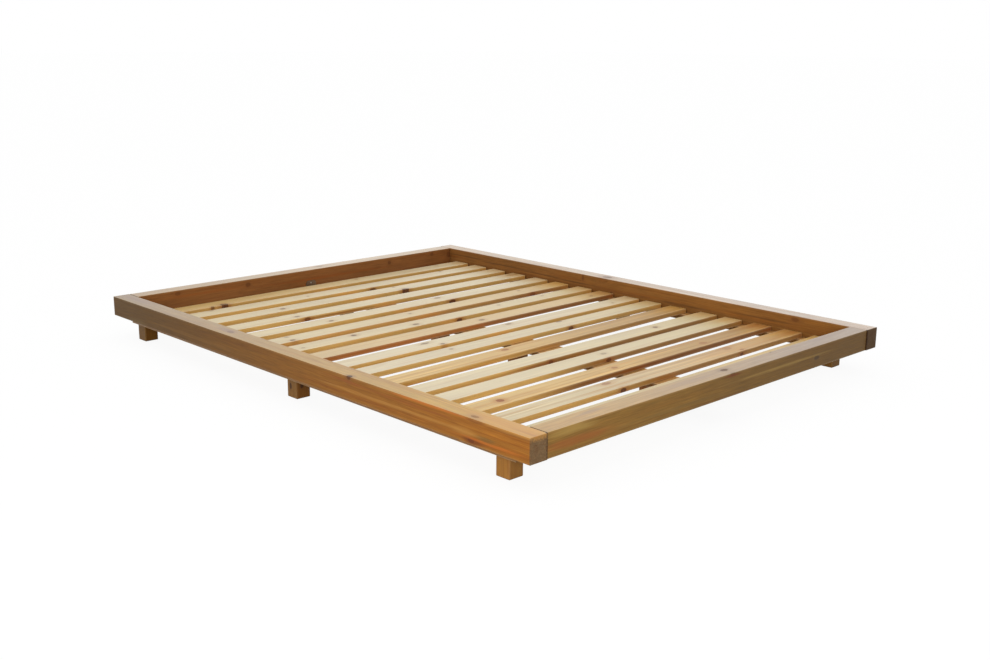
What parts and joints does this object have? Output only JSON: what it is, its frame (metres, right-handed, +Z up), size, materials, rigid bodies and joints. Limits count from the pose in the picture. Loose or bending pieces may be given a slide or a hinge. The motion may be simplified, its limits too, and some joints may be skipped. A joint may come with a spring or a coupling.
{
  "type": "floor bed frame",
  "caption": "Low slatted pine bed frame: rails on short square feet, ledgers and a middle board under loose lift-out slats, with a recess that holds a mattress close to the floor.",
  "frame": {"origin": "on the floor, under the middle of the bed frame", "axes": "+X across the bed to its right side, +Y along the bed to its head end, +Z up"},
  "size_m": [1.658, 2.14, 0.148],
  "materials": {
    "rail_wood": "varnished pine with knots",
    "board_wood": "varnished pine",
    "foot_wood": "varnished pine",
    "slat_wood": "pale varnished pine with small knots",
    "dowel_wood": "plain beech",
    "bracket_steel": "zinc-plated",
    "screw_steel": "zinc-plated"
  },
  "bodies": {
    "frame": {"side_rail_left": "rail_wood", "side_rail_right": "rail_wood", "head_rail": "rail_wood", "foot_rail": "rail_wood", "ledger_left": "board_wood", "ledger_right": "board_wood", "centre_board": "board_wood", "side_foot_left_foot_end": "foot_wood", "side_foot_left_middle": "foot_wood", "side_foot_left_head_end": "foot_wood", "side_foot_right_foot_end": "foot_wood", "side_foot_right_middle": "foot_wood", "side_foot_right_head_end": "foot_wood", "centre_foot_1": "foot_wood", "centre_foot_2": "foot_wood", "centre_foot_3": "foot_wood", "centre_foot_4": "foot_wood", "angle_bracket_head": "bracket_steel", "angle_bracket_foot": "bracket_steel", "bracket_screws": "screw_steel", "ledger_screws": "screw_steel", "foot_dowels": "dowel_wood", "corner_dowels": "dowel_wood"},
    "slat_01_body": {"slat_01": "slat_wood"},
    "slat_02_body": {"slat_02": "slat_wood"},
    "slat_03_body": {"slat_03": "slat_wood"},
    "slat_04_body": {"slat_04": "slat_wood"},
    "slat_05_body": {"slat_05": "slat_wood"},
    "slat_06_body": {"slat_06": "slat_wood"},
    "slat_07_body": {"slat_07": "slat_wood"},
    "slat_08_body": {"slat_08": "slat_wood"},
    "slat_09_body": {"slat_09": "slat_wood"},
    "slat_10_body": {"slat_10": "slat_wood"},
    "slat_11_body": {"slat_11": "slat_wood"},
    "slat_12_body": {"slat_12": "slat_wood"},
    "slat_13_body": {"slat_13": "slat_wood"},
    "slat_14_body": {"slat_14": "slat_wood"},
    "slat_15_body": {"slat_15": "slat_wood"},
    "slat_16_body": {"slat_16": "slat_wood"}
  },
  "joints": [
    {"name": "slat_01_lift", "type": "slide", "parent": "frame", "child": "slat_01_body", "axis": [0, 0, 1], "range_m": [0, 0.1]},
    {"name": "slat_02_lift", "type": "slide", "parent": "frame", "child": "slat_02_body", "axis": [0, 0, 1], "range_m": [0, 0.1]},
    {"name": "slat_03_lift", "type": "slide", "parent": "frame", "child": "slat_03_body", "axis": [0, 0, 1], "range_m": [0, 0.1]},
    {"name": "slat_04_lift", "type": "slide", "parent": "frame", "child": "slat_04_body", "axis": [0, 0, 1], "range_m": [0, 0.1]},
    {"name": "slat_05_lift", "type": "slide", "parent": "frame", "child": "slat_05_body", "axis": [0, 0, 1], "range_m": [0, 0.1]},
    {"name": "slat_06_lift", "type": "slide", "parent": "frame", "child": "slat_06_body", "axis": [0, 0, 1], "range_m": [0, 0.1]},
    {"name": "slat_07_lift", "type": "slide", "parent": "frame", "child": "slat_07_body", "axis": [0, 0, 1], "range_m": [0, 0.1]},
    {"name": "slat_08_lift", "type": "slide", "parent": "frame", "child": "slat_08_body", "axis": [0, 0, 1], "range_m": [0, 0.1]},
    {"name": "slat_09_lift", "type": "slide", "parent": "frame", "child": "slat_09_body", "axis": [0, 0, 1], "range_m": [0, 0.1]},
    {"name": "slat_10_lift", "type": "slide", "parent": "frame", "child": "slat_10_body", "axis": [0, 0, 1], "range_m": [0, 0.1]},
    {"name": "slat_11_lift", "type": "slide", "parent": "frame", "child": "slat_11_body", "axis": [0, 0, 1], "range_m": [0, 0.1]},
    {"name": "slat_12_lift", "type": "slide", "parent": "frame", "child": "slat_12_body", "axis": [0, 0, 1], "range_m": [0, 0.1]},
    {"name": "slat_13_lift", "type": "slide", "parent": "frame", "child": "slat_13_body", "axis": [0, 0, 1], "range_m": [0, 0.1]},
    {"name": "slat_14_lift", "type": "slide", "parent": "frame", "child": "slat_14_body", "axis": [0, 0, 1], "range_m": [0, 0.1]},
    {"name": "slat_15_lift", "type": "slide", "parent": "frame", "child": "slat_15_body", "axis": [0, 0, 1], "range_m": [0, 0.1]},
    {"name": "slat_16_lift", "type": "slide", "parent": "frame", "child": "slat_16_body", "axis": [0, 0, 1], "range_m": [0, 0.1]}
  ]
}
